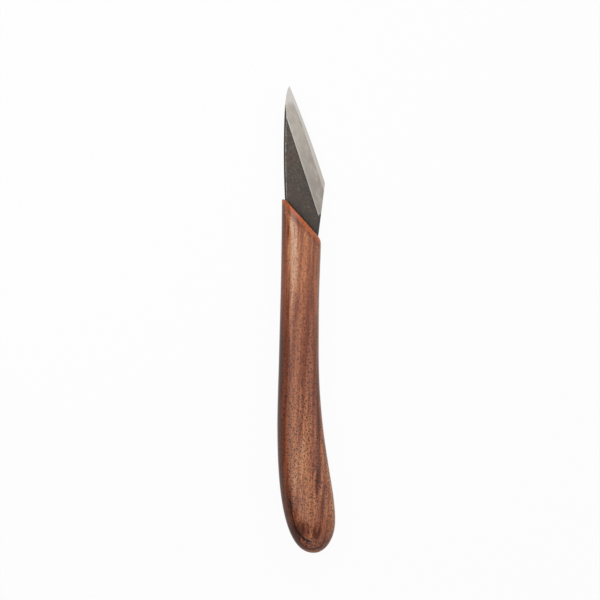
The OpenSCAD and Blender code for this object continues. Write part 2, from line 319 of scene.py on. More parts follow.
class BladePlan:
    """Outline of the blade on the plane, in metres from the butt and the blade's axis."""

    def __init__(self, blade, handle):
        self.blade = blade
        self.mouth_y = handle.handle_length
        self.mouth_slope = math.tan(handle.mouth_angle)
        self.heel = Vector((blade.blade_width - blade.spine_offset, self.mouth_y + blade.heel_reach))
        tip_x = blade.tip_inset - blade.spine_offset
        self.tip = Vector((tip_x, self.heel.y + (self.heel.x - tip_x) / math.tan(blade.edge_angle)))
        self.spine_centre = Vector((
            blade.spine_radius - blade.spine_offset, self.mouth_y + blade.spine_bow_reach))
        self.shoulder_y = self.mouth_y - blade.shoulder_setback
        chord = self.heel - self.tip
        inward = Vector((chord.y, -chord.x)).normalized()
        drop = math.sqrt(blade.edge_radius ** 2 - (chord.length / 2) ** 2)
        self.edge_centre = (self.tip + self.heel) / 2 + inward * drop
        self.shoulder_turn = blade.edge_angle - blade.shoulder_skew
        self.square_out = Vector((math.cos(self.shoulder_turn), math.sin(self.shoulder_turn)))
        self.bevel_slope = blade.bevel_width / BLADE_THICKNESS
        self.honed_slope = 1 / math.tan(math.atan(1 / self.bevel_slope) + blade.honing)

    def spine_x(self, y):
        from_centre = y - self.spine_centre.y
        return self.spine_centre.x - math.sqrt(self.blade.spine_radius ** 2 - from_centre ** 2)

    def heel_x(self, y):
        return self.heel.x - (self.heel.y - y) * math.tan(self.blade.heel_taper)

    def spine_points(self, inset):
        """Spine and nose from the shoulder to just past the tip, drawn in by inset."""
        turn_y = self.tip.y - self.blade.tip_turn
        points = []
        for i in range(CURVE_STEPS + 1):
            y = self.shoulder_y + (turn_y - self.shoulder_y) * i / CURVE_STEPS
            points.append(Vector((self.spine_x(y), y)))
        turn = points[-1]
        corner = self.tip - Vector((self.blade.tip_nose, self.blade.tip_nose))
        for i in range(1, CURVE_STEPS + 1):
            t = i / CURVE_STEPS
            points.append((1 - t) ** 2 * turn + 2 * (1 - t) * t * corner + t * t * self.tip)
        points.append(2 * points[-1] - points[-2])
        drawn = []
        for i, p in enumerate(points):
            run = points[min(i + 1, len(points) - 1)] - points[max(i - 1, 0)]
            drawn.append(p + Vector((run.y, -run.x)).normalized() * inset)
        drawn.append(drawn[-1] + (drawn[-1] - drawn[-2]).normalized() * self.blade.tip_nose)
        return drawn

    def past_edge(self, point, height, strip):
        """How far a point lies past the flat bevel or the honed strip at a height above the back."""
        out = point - self.edge_centre
        honed = out.length - self.blade.edge_radius + height * self.honed_slope
        flat = out.dot(self.square_out) - self.blade.edge_radius + height * self.bevel_slope
        return max(honed, flat) + strip

    def stop_at_edge(self, line, height, strip):
        """The line from its inner end to where it meets the edge's side of the blade."""
        over = [self.past_edge(p, height, strip) for p in line]
        stop = next(i for i in range(1, len(line)) if over[i] > -EDGE_NOISE)
        part = min(1.0, -over[stop - 1] / (over[stop] - over[stop - 1]))
        return line[:stop] + [line[stop - 1].lerp(line[stop], part)]

    def contour(self, height, inset, strip):
        """Closed outline at a height above the back, with its sides drawn in by inset and the bevel by
        strip. Along the edge it is honed, flat and honed again."""
        spine_count, run_counts, heel_count, end_count = BLADE_COUNTS
        points = even_points(self.stop_at_edge(self.spine_points(inset), height, strip), spine_count)

        along = Vector((math.sin(self.blade.heel_taper), math.cos(self.blade.heel_taper)))
        start = self.heel - Vector((along.y, -along.x)) * inset
        root = start + along * ((self.shoulder_y - start.y) / along.y)
        heel_line = [root, start, start + along * self.blade.bevel_width]
        heel_line = self.stop_at_edge(even_points(heel_line, HEEL_STEPS), height, strip)

        first, last = (math.atan2(*reversed(p - self.edge_centre)) for p in (points[-1], heel_line[-1]))
        honed = self.blade.edge_radius - height * self.honed_slope - strip
        flat = self.blade.edge_radius - height * self.bevel_slope - strip
        half = math.acos(min(1.0, flat / honed))
        turns = [first, self.shoulder_turn + half, self.shoulder_turn - half, last]
        turns = [min(max(t, last), first) for t in turns]
        for run, count in enumerate(run_counts):
            for i in range(1, count + 1):
                turn = turns[run] + (turns[run + 1] - turns[run]) * i / count
                radius = min(honed, flat / math.cos(turn - self.shoulder_turn))
                points.append(self.edge_centre + radius * Vector((math.cos(turn), math.sin(turn))))

        points += [heel_line[-1].lerp(root, i / heel_count) for i in range(1, heel_count + 1)]
        left = self.spine_x(self.shoulder_y) + self.blade.shoulder_width
        right = self.heel_x(self.shoulder_y) - self.blade.shoulder_width
        end_radius = self.blade.tang_end_width / 2
        end = Vector(((left + right) / 2, self.mouth_y - self.blade.tang_length + end_radius))
        points.append(Vector((right - inset, self.shoulder_y)))
        for i in range(end_count + 1):
            turn = -math.pi * i / end_count
            points.append(end + (end_radius - inset) * Vector((math.cos(turn), math.sin(turn))))
        points.append(Vector((left + inset, self.shoulder_y)))
        return points


class HandlePlan:
    """Side curves and cross-sections of the handle, in metres from the butt and the blade's axis."""
    # How far each curve follows the line it leaves by and the line it arrives by, as shares of its run
    SPINE_BUTT_PULL = (0.82, 0.52)
    PALM_BUTT_PULL = (0.55, 0.55)
    SPINE_PULL = (0.13, 0.39)
    PALM_PULL = (0.22, 0.54)
    NECK_PULL = (0.65, 0.2)

    def __init__(self, handle, plan):
        self.handle = handle
        self.slope = plan.mouth_slope
        gap = plan.blade.bed_gap + handle.mouth_wall
        spine_x = plan.spine_x(handle.handle_length + self.slope * plan.blade.spine_offset) - gap
        palm_x = plan.heel_x(handle.handle_length - self.slope * plan.heel_x(handle.handle_length)) + gap
        self.neck_spine = Vector((spine_x, handle.handle_length - self.slope * spine_x))
        self.neck_palm = Vector((palm_x, handle.handle_length - self.slope * palm_x))
        self.butt = Vector((handle.butt_offset, 0))
        spine = Vector((-handle.spine_swell, handle.spine_swell_reach))
        palm = Vector((handle.palm_swell, handle.palm_swell_reach))
        waist = Vector((handle.waist, handle.waist_reach))
        self.spine_side = [self.butt] + self.butt_quarter(spine, self.SPINE_BUTT_PULL)
        self.spine_side += self.side_run(spine, self.neck_spine, self.SPINE_PULL)
        self.palm_side = [self.butt] + self.butt_quarter(palm, self.PALM_BUTT_PULL)
        self.palm_side += self.side_run(palm, waist, self.PALM_PULL)
        self.palm_side += self.side_run(waist, self.neck_palm, self.NECK_PULL)

    def butt_quarter(self, side, pull):
        across = Vector((self.butt.x + pull[0] * (side.x - self.butt.x), 0))
        return bezier(self.butt, across, Vector((side.x, side.y * (1 - pull[1]))), side)

    def side_run(self, low, high, pull):
        run = high.y - low.y
        return bezier(
            low, Vector((low.x, low.y + pull[0] * run)), Vector((high.x, high.y - pull[1] * run)), high)

    @staticmethod
    def across(side, y):
        at = min(max(bisect.bisect_left(side, y, key=lambda p: p.y), 1), len(side) - 1)
        a, b = side[at - 1], side[at]
        return Vector((a.x + (b.x - a.x) * (y - a.y) / (b.y - a.y), y))

    def half_ring(self, y, inset, sides):
        """Front half of the cross-section at y on the axis, from the palm side to the spine side."""
        handle = self.handle
        near = min(max(1 - (handle.handle_length - y) / handle.slant_run, 0), 1)
        slant = self.slope * near * near * (3 - 2 * near)
        spine = self.across(self.spine_side, y - slant * self.neck_spine.x)
        palm = self.across(self.palm_side, y - slant * self.neck_palm.x)
        middle = (palm + spine) / 2
        half_width = (palm - spine).length / 2
        dome = 1.0
        if y < handle.butt_round:
            dome = (1 - (1 - y / handle.butt_round) ** handle.butt_power) ** (1 / handle.butt_power)
        half_height = HANDLE_THICKNESS / 2 * dome
        power = 2 / handle.section_power
        ring = []
        for i in range(sides + 1):
            turn = math.pi * i / sides
            cosine, sine = math.cos(turn), max(0.0, math.sin(turn))
            if i in (0, sides):
                sine = 0.0
            side = math.copysign(abs(cosine) ** power, cosine) * (1 - inset / half_width)
            up = sine ** power * (half_height - inset)
            p = middle + side * (palm - spine) / 2
            ring.append(Vector((p.x, p.y, up)))
        return ring, middle


class KNIFE_OT_handle(bpy.types.Operator):
    """Build the two hollowed walnut halves of the handle"""
    bl_idname = "knife.handle"
    bl_label = "Handle halves"

    BUTT_RINGS = 36
    BODY_RINGS = 170
    RIM_RINGS = 14
    HALF_SIDES = 64
    # Share of its last stretch that the mouth's acute corner loses
    BLUNTING = 0.6
    CREASE = 40

    def rings(self, plan):
        handle = plan.handle
        rim_y = handle.handle_length - handle.mouth_radius
        stations = []
        for i in range(1, self.BUTT_RINGS + 1):
            stations.append((handle.butt_round * (1 - math.cos(math.pi / 2 * i / self.BUTT_RINGS)), 0.0))
        for i in range(1, self.BODY_RINGS + 1):
            stations.append((handle.butt_round + (rim_y - handle.butt_round) * i / self.BODY_RINGS, 0.0))
        for i in range(1, self.RIM_RINGS + 1):
            turn = math.pi / 2 * i / self.RIM_RINGS
            stations.append((
                rim_y + handle.mouth_radius * math.sin(turn), handle.mouth_radius * (1 - math.cos(turn))))
        return [plan.half_ring(y, inset, self.HALF_SIDES) for y, inset in stations]

    def sanded(self, plan, point, middle):
        """The point moved by the unevenness of hand sanding, and drawn back at the mouth's acute corner."""
        wave = noise.noise(point / plan.handle.hand_finish_length)
        outward = Vector((point.x - middle.x, point.y - middle.y, point.z))
        moved = point + outward.normalized() * plan.handle.hand_finish * wave
        corner_y = HANDLE_REACH - plan.handle.corner_blunt
        moved.y -= self.BLUNTING * max(0.0, moved.y - corner_y)
        return moved

    def half(self, name, plan, material, side, origin):
        """One half, on the front for side 1 and on the back for side -1."""
        rows = []
        for ring, middle in self.rings(plan):
            rows.append([self.sanded(plan, Vector((p.x, p.y, side * p.z)), middle) for p in ring])
        for row in rows:
            row[0].z = row[-1].z = 0.0
        vertices = [Vector((plan.butt.x, plan.butt.y, 0.0))]
        for row in rows:
            vertices += row
        count = self.HALF_SIDES + 1
        last = len(rows) - 1
        faces = [[0, 1 + j, 2 + j] for j in range(self.HALF_SIDES)]
        faces += skin(len(rows), count, False, first=1)
        faces.append([1 + last * count + j for j in range(count)])
        rim = [1 + i * count for i in range(last + 1)]
        faces.append([0] + rim + [r + self.HALF_SIDES for r in reversed(rim)])
        return mesh_object(name, [origin + v for v in vertices], faces, [material])

    def hollow(self, plan, origin, material):
        """Solid shape of the hollow for the tang and its resin."""
        gap = plan.blade.bed_gap
        outline = plan.contour(0.0, -gap, -gap)
        low = origin.z - BLADE_THICKNESS / 2 - gap
        high = origin.z + BLADE_THICKNESS / 2 + gap
        count = len(outline)
        vertices = [Vector((origin.x + p.x, origin.y + p.y, z)) for z in (low, high) for p in outline]
        faces = [list(range(count)), list(range(count, 2 * count)), *skin(2, count, True)]
        return mesh_object("tang hollow", vertices, faces, [material])

    def execute(self, context):
        scene = context.scene
        blade_plan = BladePlan(scene.knife_blade, scene.knife_handle)
        plan = HandlePlan(scene.knife_handle, blade_plan)
        origin = frame_origin(scene.knife_handle)
        material = walnut(scene.knife_finish, scene.knife_handle, origin)
        for name, side in (("handle_front", 1), ("handle_back", -1)):
            piece = self.half(name, plan, material, side, origin)
            cut(piece, self.hollow(blade_plan, origin, material), "DIFFERENCE")
            smooth(piece, self.CREASE)
            seat(piece, f"{name}_half")
        return {"FINISHED"}


class KNIFE_OT_blade(bpy.types.Operator):
    """Build the blade's iron body and its steel layer"""
    bl_idname = "knife.blade"
    bl_label = "Blade"

    KINDS = 5
    SCALE, GROUND, POLISHED, CHAMFER, WORN = range(KINDS)
    BEVEL_STEPS = 16
    CHAMFER_ROWS = 3
    CREASE = 8
    # Size of the block that marks out the steel, and the steps across and along it
    ZONE_WIDTH = 120 * MM
    ZONE_LENGTH = 90 * MM
    ZONE_STEPS = 90

    def levels(self, plan):
        """Heights above the flat back, with how far the sides and the bevel are drawn in there."""
        blade = plan.blade
        corner = blade.corner_round
        foot = BLADE_THICKNESS - blade.chamfer_depth
        lean = blade.chamfer_width / blade.chamfer_depth
        strip = blade.shoulder_round / 2
        strip_z = BLADE_THICKNESS - strip / plan.bevel_slope
        rows = [(0.0, corner, 0.0)]
        for i in range(self.BEVEL_STEPS + 1):
            rows.append((corner + (foot - 2 * corner) * i / self.BEVEL_STEPS, 0.0, 0.0))
        rows.append((foot + corner / 2, corner / 2 * lean, 0.0))
        rows.append((strip_z, (strip_z - foot) * lean, 0.0))
        rows.append((BLADE_THICKNESS, blade.chamfer_width + corner, strip))
        return rows

    def whole(self, name, plan, origin, materials):
        levels = self.levels(plan)
        contours = [plan.contour(*level) for level in levels]
        count = len(contours[0])
        vertices = []
        for (z, _, _), contour in zip(levels, contours):
            vertices += [Vector((origin.x + p.x, origin.y + p.y, IRON_LOW.z + z)) for p in contour]
        spine_count, run_counts, _, _ = BLADE_COUNTS
        runs = [spine_count - 1]
        for run in run_counts:
            runs.append(runs[-1] + run)
        top = len(levels) - 1
        faces = [list(range(count)), [top * count + i for i in range(count)]]
        faces += skin(len(levels), count, True)
        kinds = [self.GROUND, self.SCALE]
        for row in range(top):
            for i in range(count):
                kind = self.SCALE
                if runs[0] <= i < runs[-1]:
                    kind = self.GROUND if row < top - 1 else self.POLISHED
                elif row == top - 1 and i < runs[0]:
                    kind = self.WORN
                elif row >= top - self.CHAMFER_ROWS:
                    kind = self.CHAMFER
                kinds.append(kind)
        return mesh_object(name, vertices, faces, materials, kinds)

    def steel_zone(self, plan, origin, material):
        """Block over the steel's place, whose top wanders as a forge weld does."""
        blade = plan.blade
        turn = math.atan(plan.mouth_slope)
        along = Vector((math.cos(turn), -math.sin(turn)))
        ahead = Vector((math.sin(turn), math.cos(turn)))
        start = Vector((0, plan.mouth_y)) + ahead * blade.steel_setback
        steps = self.ZONE_STEPS
        top = IRON_LOW.z + STEEL_THICKNESS
        low = IRON_LOW.z - BLADE_THICKNESS
        vertices = []
        for i in range(steps + 1):
            for j in range(steps + 1):
                aside = self.ZONE_WIDTH * j / steps - self.ZONE_WIDTH / 2
                p = start + along * aside + ahead * (self.ZONE_LENGTH * i / steps)
                wave = blade.weld_wave * noise.noise(Vector((p.x, p.y, 0)) / blade.weld_wave_length)
                vertices.append(Vector((origin.x + p.x, origin.y + p.y, top + wave)))
        row = steps + 1
        faces = skin(row, row, False)
        rim = list(range(row)) + [i * row + steps for i in range(1, row)]
        rim += [steps * row + j for j in range(steps - 1, -1, -1)]
        rim += [i * row for i in range(steps - 1, 0, -1)]
        base = len(vertices)
        vertices += [Vector((vertices[i].x, vertices[i].y, low)) for i in rim]
        for i in range(len(rim)):
            j = (i + 1) % len(rim)
            faces.append([rim[i], rim[j], base + j, base + i])
        faces.append([base + i for i in range(len(rim))])
        return mesh_object("steel zone", vertices, faces, [material])

    def execute(self, context):
        scene = context.scene
        plan = BladePlan(scene.knife_blade, scene.knife_handle)
        origin = frame_origin(scene.knife_handle)
        finish = scene.knife_finish
        scale = forge_scale(finish, plan, origin)
        iron = ground_iron(finish, plan, origin)
        steel = edge_steel(finish, plan, origin)
        chamfer = thick_scale(finish, origin)
        worn = worn_scale(finish, plan, origin)
        body = self.whole("blade_iron", plan, origin, [scale, iron, steel, chamfer, worn])
        cut(body, self.steel_zone(plan, origin, scale), "DIFFERENCE")
        smooth(body, self.CREASE)
        seat(body, "blade_body")
        layer = self.whole("blade_steel", plan, origin, [steel] * self.KINDS)
        cut(layer, self.steel_zone(plan, origin, steel), "INTERSECT")
        smooth(layer, self.CREASE)
        seat(layer, "edge_steel")
        return {"FINISHED"}


class KNIFE_OT_bedding(bpy.types.Operator):
    """Finish the resin that beds the tang"""
    bl_idname = "knife.bedding"
    bl_label = "Tang bedding"

    def execute(self, context):
        scene = context.scene
        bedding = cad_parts["tang_bedding"]
        bedding.data.materials.clear()
        bedding.data.materials.append(cast_resin(scene.knife_finish, frame_origin(scene.knife_handle)))
        return {"FINISHED"}


SMOOTH = {"interpolation_type": "SMOOTHSTEP"}


def add_node(tree, kind, *values, stops=(), **named):
    """Adds a node. Values go to its inputs in their order. Named ones go to its own properties, or to the
    input of that name, where _ stands for a space. A node or socket is linked, and anything else is set. A
    colour ramp takes stops."""
    node = tree.nodes.new(f"ShaderNode{kind}")
    for name in [name for name in named if hasattr(node, name)]:
        setattr(node, name, named.pop(name))
    inputs = [socket for socket in node.inputs if socket.enabled]
    wiring = [(inputs[i], value) for i, value in enumerate(values)]
    wiring += [(node.inputs[name.replace("_", " ")], value) for name, value in named.items()]
    for socket, value in wiring:
        if isinstance(value, bpy.types.Node):
            value = next(output for output in value.outputs if output.enabled)
        if isinstance(value, bpy.types.NodeSocket):
            tree.links.new(value, socket)
        else:
            socket.default_value = value
    if stops:
        elements = node.color_ramp.elements
        while len(elements) < len(stops):
            elements.new(1.0)
        for element, (place, shade) in zip(elements, stops):
            element.position = place
            element.color = shade
    return node


def bare_material(name):
    """An empty material, and the function that adds nodes to it."""
    material = bpy.data.materials.new(name)
    material.use_nodes = True
    material.node_tree.nodes.clear()
    return material, functools.partial(add_node, material.node_tree)


def new_material(name, origin):
    """A bare material, with the place in millimetres from the butt and the blade's axis."""
    material, add = bare_material(name)
    place = add("TexCoord").outputs["Object"]
    in_mm = add("Mapping", place, vector_type="TEXTURE", Location=origin, Scale=(MM, MM, MM))
    return material, add, in_mm


def surfaced(material, add, **settings):
    """The material with its shader, which takes the settings."""
    shader = add("BsdfPrincipled", **settings)
    add("OutputMaterial", shader)
    return material


def clouds(add, place, size, detail, lean=0.0, roughness=0.5):
    """Noise whose clouds have a size in millimetres and lean by an angle."""
    cells = add("Mapping", place, vector_type="TEXTURE", Rotation=(0, 0, lean), Scale=size)
    return add("TexNoise", cells, Scale=1.0, Detail=detail, Roughness=roughness)


def soft_spot(add, place, middle, size, lean=0.0):
    """A spot that fades from 1 at its middle to 0 at its half width, half length and half depth."""
    cells = add("Mapping", place, middle, (0, 0, lean), size, vector_type="TEXTURE")
    return add("TexGradient", cells, gradient_type="SPHERICAL")


def off(add, value, middle):
    """How far a value lies from a middle one, on either side."""
    apart = add("Math", value, middle, operation="SUBTRACT")
    return add("Math", apart, operation="ABSOLUTE")


# Streaks of the walnut's figure, in millimetres: middle across and along, half width, half length, lean
# towards the palm in degrees, and tone against the wood round it
FIGURE = (
    (1.5, 26.0, 10.0, 34.0, 5.0, 1.15),
    (0.6, 38.0, 2.0, 24.0, 7.0, 1.2),
    (4.2, 72.0, 1.2, 36.0, 3.0, 0.82),
    (7.2, 48.0, 1.1, 40.0, 0.8, 0.45),
    (6.9, 30.0, 1.1, 10.0, 4.0, 0.5),
    (11.0, 24.0, 1.0, 12.0, -6.0, 0.9),
    (13.0, 22.0, 1.5, 24.0, -6.0, 1.25),
    (8.8, 20.0, 0.9, 14.0, 2.0, 0.6),
    (10.0, 34.0, 0.7, 14.0, -8.0, 0.95),
    (5.9, 76.0, 1.1, 28.0, 2.5, 0.65),
    (5.0, 66.0, 5.0, 46.0, 1.0, 0.88),
    (-1.5, 84.0, 6.0, 26.0, 2.0, 0.95),
    (2.3, 82.0, 1.6, 42.0, 3.4, 0.6),
    (-0.3, 50.0, 1.5, 14.0, 1.0, 0.8),
    (-0.5, 110.0, 1.2, 34.0, 2.5, 0.75),
    # Painted highlight: a pale streak on the neck stands in for the lacquer's reflection
    (-2.6, 118.0, 3.4, 24.0, 1.5, 1.5),
    (-1.0, 127.5, 0.5, 9.0, 2.0, 0.7),
    (-2.5, 130.5, 0.4, 6.0, 2.0, 0.8),
    # Painted highlight where that reflection begins under the mouth's rim
    (-5.0, 134.0, 1.3, 9.0, -14.0, 1.55),
    # Painted shade that trims that painted highlight under the rim
    (-2.4, 135.5, 1.6, 8.0, -14.0, 0.5),
    (-5.4, 42.0, 0.8, 26.0, 1.0, 1.5),
    (-5.6, 84.0, 1.3, 18.0, 1.0, 1.3),
    (-7.0, 71.0, 1.2, 15.0, 0.0, 0.78),
    (-6.9, 131.0, 1.3, 18.0, 0.0, 0.6),
    (-4.2, 104.0, 1.0, 16.0, 1.0, 0.78),
    (-3.8, 66.0, 2.4, 18.0, 1.0, 0.9),
    (-2.4, 64.0, 1.8, 20.0, 2.0, 1.25),
    (1.9, 120.0, 1.3, 24.0, 2.0, 1.15),
    (-2.0, 8.5, 4.5, 6.0, 0.0, 0.5),
    (1.3, 10.0, 1.4, 4.5, -12.0, 0.35),
    (2.9, 10.6, 1.0, 4.0, -6.0, 0.5),
    (5.4, 8.6, 1.0, 4.0, 4.0, 0.45),
    (6.9, 8.4, 1.0, 4.5, 10.0, 0.4),
    (8.0, 18.0, 1.6, 14.0, 12.0, 0.7),
    (9.8, 7.3, 1.8, 5.0, 14.0, 0.68),
)
WOOD_DEPTH = 100.0
GRAIN_LEAN = math.radians(-3)
PORE_LEAN = math.radians(27)
# Darkest tone of the spine side's painted shade, which is partly darker heartwood, from the butt on and
# towards the neck
DARK_SHADED_FLANK, NECK_SHADED_FLANK = 0.36, 0.74


def walnut_tone(add, grain, streak, line, fibre):
    """Tone of the wood, from its patterns and the streaks of its figure. The mean of each pattern is a
    half, and so is the tone's."""
    streak_share, line_share, fibre_share = 0.7, 0.4, 0.4
    lift = (1 - streak_share - line_share - fibre_share) / 2
    full_at = 0.7
    tone = add("Math", fibre, fibre_share, lift, operation="MULTIPLY_ADD")
    tone = add("Math", line, line_share, tone, operation="MULTIPLY_ADD")
    tone = add("Math", streak, streak_share, tone, operation="MULTIPLY_ADD")
    for across, up, half_width, half_length, lean, gain in FIGURE:
        size = (half_width, half_length, WOOD_DEPTH)
        core = soft_spot(add, grain, (across, up, 0), size, math.radians(-lean))
        change = add("MapRange", core, 0.0, full_at, 1.0, gain, **SMOOTH)
        tone = add("Math", tone, change, operation="MULTIPLY")
    return tone


def spine_side(add, x, y, streak):
    """Darkening of the spine side, partly darker heartwood and partly painted shade, which lies deeper into
    the handle towards the butt, and the darkest that it gets at each height."""
    bend_mm = (8.0, 34.0)
    border_mm = (-0.6, -4.7)
    uneven_mm = 3.0
    fade_mm = (-1.2, 4.4)
    neck_mm = (84.0, 104.0)
    border = add("MapRange", y, *bend_mm, *border_mm, **SMOOTH)
    inside = add("Math", x, border, operation="SUBTRACT")
    inside = add("Math", streak, uneven_mm, inside, operation="MULTIPLY_ADD")
    darkest = add("MapRange", y, *neck_mm, DARK_SHADED_FLANK, NECK_SHADED_FLANK)
    # Painted shade, partly darker heartwood: the spine side's flank is darkened
    shaded_flank = add("MapRange", inside, *fade_mm, darkest, 1.0, **SMOOTH)
    return shaded_flank, darkest


def butt_marks(add, grain, y, line):
    """Darkening by the butt's end grain, which drinks the lacquer, and by a dark arc on it, the painted
    edge of a reflection. Below the arc the tone is lifted, a painted reflection of the floor."""
    end_grain_mm = (9.0, 16.0)
    uneven_mm = 14.0
    arc_middle = (4.8, 9.1, 0.0)
    arc_radii = (6.2, 7.2, WOOD_DEPTH)
    arc_edge = (0.02, 0.09)
    arc_fade_mm = (4.0, 7.0)
    floor_sheen_mm = (0.8, 3.2)
    uneven = add("Math", line, uneven_mm, y, operation="MULTIPLY_ADD")
    butt = add("MapRange", uneven, *end_grain_mm, 0.62, 1.0, **SMOOTH)
    # Painted reflection: a dark arc near the butt's end
    from_arc = add("Mapping", grain, vector_type="TEXTURE", Location=arc_middle, Scale=arc_radii)
    off_arc = off(add, add("VectorMath", from_arc, operation="LENGTH"), 1.0)
    darkest = add("MapRange", y, *arc_fade_mm, 0.3, 1.0)
    ring = add("MapRange", off_arc, *arc_edge, darkest, 1.0, **SMOOTH)
    # Painted reflection of the floor: the tone lifts at the very end
    floor_sheen = add("MapRange", y, *floor_sheen_mm, 1.6, 1.0)
    return butt, ring, floor_sheen


def mouth_marks(add, exact, handle):
    """Darkening by the end grain on the mouth's face and by a band of painted shade behind the rim, and
    the rim's share of its painted highlight."""
    mouth = handle.handle_length / MM
    slope = math.tan(handle.mouth_angle)
    face_mm = (mouth - 0.3, mouth - 0.05)
    shade_band_mm, shade_band_half_width = mouth - 3.4, 1.8
    rim_highlight_mm = (mouth - 3.4, mouth - 1.2)
    to_mouth = add("Math", exact.outputs["X"], slope, exact.outputs["Y"], operation="MULTIPLY_ADD")
    face = add("MapRange", to_mouth, *face_mm, 1.0, 0.55)
    # Painted shade in a band behind the rim
    off_shade_band = off(add, to_mouth, shade_band_mm)
    shade_band = add("MapRange", off_shade_band, 0.0, shade_band_half_width, 0.74, 1.0, **SMOOTH)
    # Painted highlight on the mouth's rounded rim
    rim = add("MapRange", to_mouth, *rim_highlight_mm, 0.0, 0.88, **SMOOTH)
    bare_face = add("Math", face, 2.0, operation="POWER")
    rim = add("Math", rim, bare_face, operation="MULTIPLY")
    return face, shade_band, rim


def resin_seam(add, in_mm, x, y, fibre):
    """Share of a thin black seam of old resin, which curves in from the spine side just above the butt, on
    the front. It is a hyperbola: the distances from a line beside the spine and from the butt have a fixed
    product along it."""
    line_mm = 6.8
    product = 55.0
    ragged = 9.0
    edge = (6.5, 12.0)
    middle, size, lean = (-1.6, 12.5, 5.0), (6.5, 13.0, 7.0), math.radians(25)
    from_line = add("Math", x, line_mm, operation="ADD")
    curve = add("Math", from_line, y, operation="MULTIPLY")
    apart = off(add, curve, product)
    apart = add("Math", fibre, ragged, apart, operation="MULTIPLY_ADD")
    thin = add("MapRange", apart, *edge, 0.95, 0.0, **SMOOTH)
    near = soft_spot(add, in_mm, middle, size, lean)
    near = add("MapRange", near, 0.1, 0.3, 0.0, 1.0, **SMOOTH)
    return add("Math", thin, near, operation="MULTIPLY")


def open_pores(add, finish, grain, y, streak, fibre, wood):
    """The wood's colour with its open pores, and the height of its surface. The pores are fullest of dust
    towards the butt, and lie closer in some streaks than in others. They are drawn wider than they are, to
    show."""
    dusty_mm = (60.0, 115.0)
    pores = (((0.8, 1.3, 0.8), 0.4), ((0.5, 0.95, 0.5), 0.42))
    depth = add("MapRange", y, *dusty_mm, 0.8, 0.42)
    open_grain = add("MapRange", streak, 0.4, 0.52, 0.8, 1.0)
    depth = add("Math", depth, open_grain, operation="MULTIPLY")
    height = fibre
    for size, reach in pores:
        cells = add("Mapping", grain, vector_type="TEXTURE", Rotation=(0, 0, PORE_LEAN), Scale=size)
        pore = add("TexVoronoi", cells, Scale=1.0)
        in_pore = add("MapRange", pore, reach / 2, reach, depth, 0.0, **SMOOTH)
        wood = add("Mix", in_pore, wood, finish.wood_pore, data_type="RGBA")
        height = add("Math", in_pore, -3.0, height, operation="MULTIPLY_ADD")
    return wood, height


def walnut(finish, handle, origin):
    """Walnut heartwood, sanded fine and rubbed with clear lacquer. The eye sees long streaks of brown,
    short dark pores that slant across them, a spine side darkened partly by painted shade, a darker butt
    with a painted reflection at its end, a painted highlight on the neck and on the mouth's rim, and a
    soft reflection over it all. Its fibres are drawn coarser than they are, to show."""
    wander_mm = (6.0, 24.0, 6.0)
    wander_reach = 1.5
    streak_mm = (1.4, 40.0, 1.4)
    line_mm = (0.5, 14.0, 0.5)
    fibre_mm = (0.35, 1.5, 0.35)
    glue_mm = (0.06, 0.14)
    lit_middle, lit_size = (-5.5, 43.0, 0.0), (0.9, 19.0, WOOD_DEPTH)
    material, add, in_mm = new_material("lacquered walnut", origin)

    # The grain wanders by up to about a millimetre
    wander = clouds(add, in_mm, wander_mm, 2.0).outputs["Color"]
    sway = Vector((wander_reach, 0, wander_reach))
    aside = add("VectorMath", wander, 2 * sway, -sway, operation="MULTIPLY_ADD")
    grain = add("VectorMath", in_mm, aside, operation="ADD")
    streak = clouds(add, grain, streak_mm, 3.0, GRAIN_LEAN)
    line = clouds(add, grain, line_mm, 2.0, GRAIN_LEAN)
    fibre = clouds(add, grain, fibre_mm, 2.0, GRAIN_LEAN + PORE_LEAN)
    tone = walnut_tone(add, grain, streak, line, fibre)

    parts = add("SeparateXYZ", grain)
    x, y = parts.outputs["X"], parts.outputs["Y"]
    exact = add("SeparateXYZ", in_mm)
    shaded_flank, darkest = spine_side(add, x, y, streak)
    face, shade_band, rim = mouth_marks(add, exact, handle)
    # The two halves meet in a fine line of glue
    off_glue = add("Math", exact.outputs["Z"], operation="ABSOLUTE")
    glue = add("MapRange", off_glue, *glue_mm, 0.45, 1.0)
    # The darkenings include painted shade on the spine side and behind the rim, and a painted reflection at
    # the butt
    for darkening in (shaded_flank, *butt_marks(add, grain, y, line), glue, face, shade_band):
        tone = add("Math", tone, darkening, operation="MULTIPLY")
    wood = add("ValToRGB", tone, stops=(
        (0.12, finish.wood_dark), (0.31, finish.wood_middle), (0.5, finish.wood_light),
        (0.64, finish.wood_warm), (0.95, finish.wood_pale)))
    seam = resin_seam(add, in_mm, x, y, fibre)
    wood = add("Mix", seam, wood, finish.resin, data_type="RGBA")

    # Lacquer stands thicker along the spine side, most towards the mouth, and yellows the wood there
    yellowed = add("MapRange", shaded_flank, NECK_SHADED_FLANK, 1.0, darkest, 0.0)
    wood = add("Mix", yellowed, wood, finish.lacquer, data_type="RGBA", blend_type="MULTIPLY")
    # The mouth's rounded rim is painted a brighter orange, a painted highlight, and a long streak on the
    # spine side gets the same orange
    lit = soft_spot(add, grain, lit_middle, lit_size)
    lit = add("Math", lit, line, operation="MULTIPLY")
    rim_highlight_and_streak = add("Math", rim, lit, operation="MAXIMUM")
    wood = add("Mix", rim_highlight_and_streak, wood, finish.wood_rim_highlight, data_type="RGBA")

    wood, height = open_pores(add, finish, grain, y, streak, fibre, wood)
    bump = add("Bump", Strength=0.5, Distance=0.012 * MM, Height=height)
    return surfaced(
        material, add, Base_Color=wood, Normal=bump, Roughness=0.5, Specular_IOR_Level=0.0,
        Coat_Weight=0.55, Coat_Roughness=0.15, Coat_IOR=1.5)


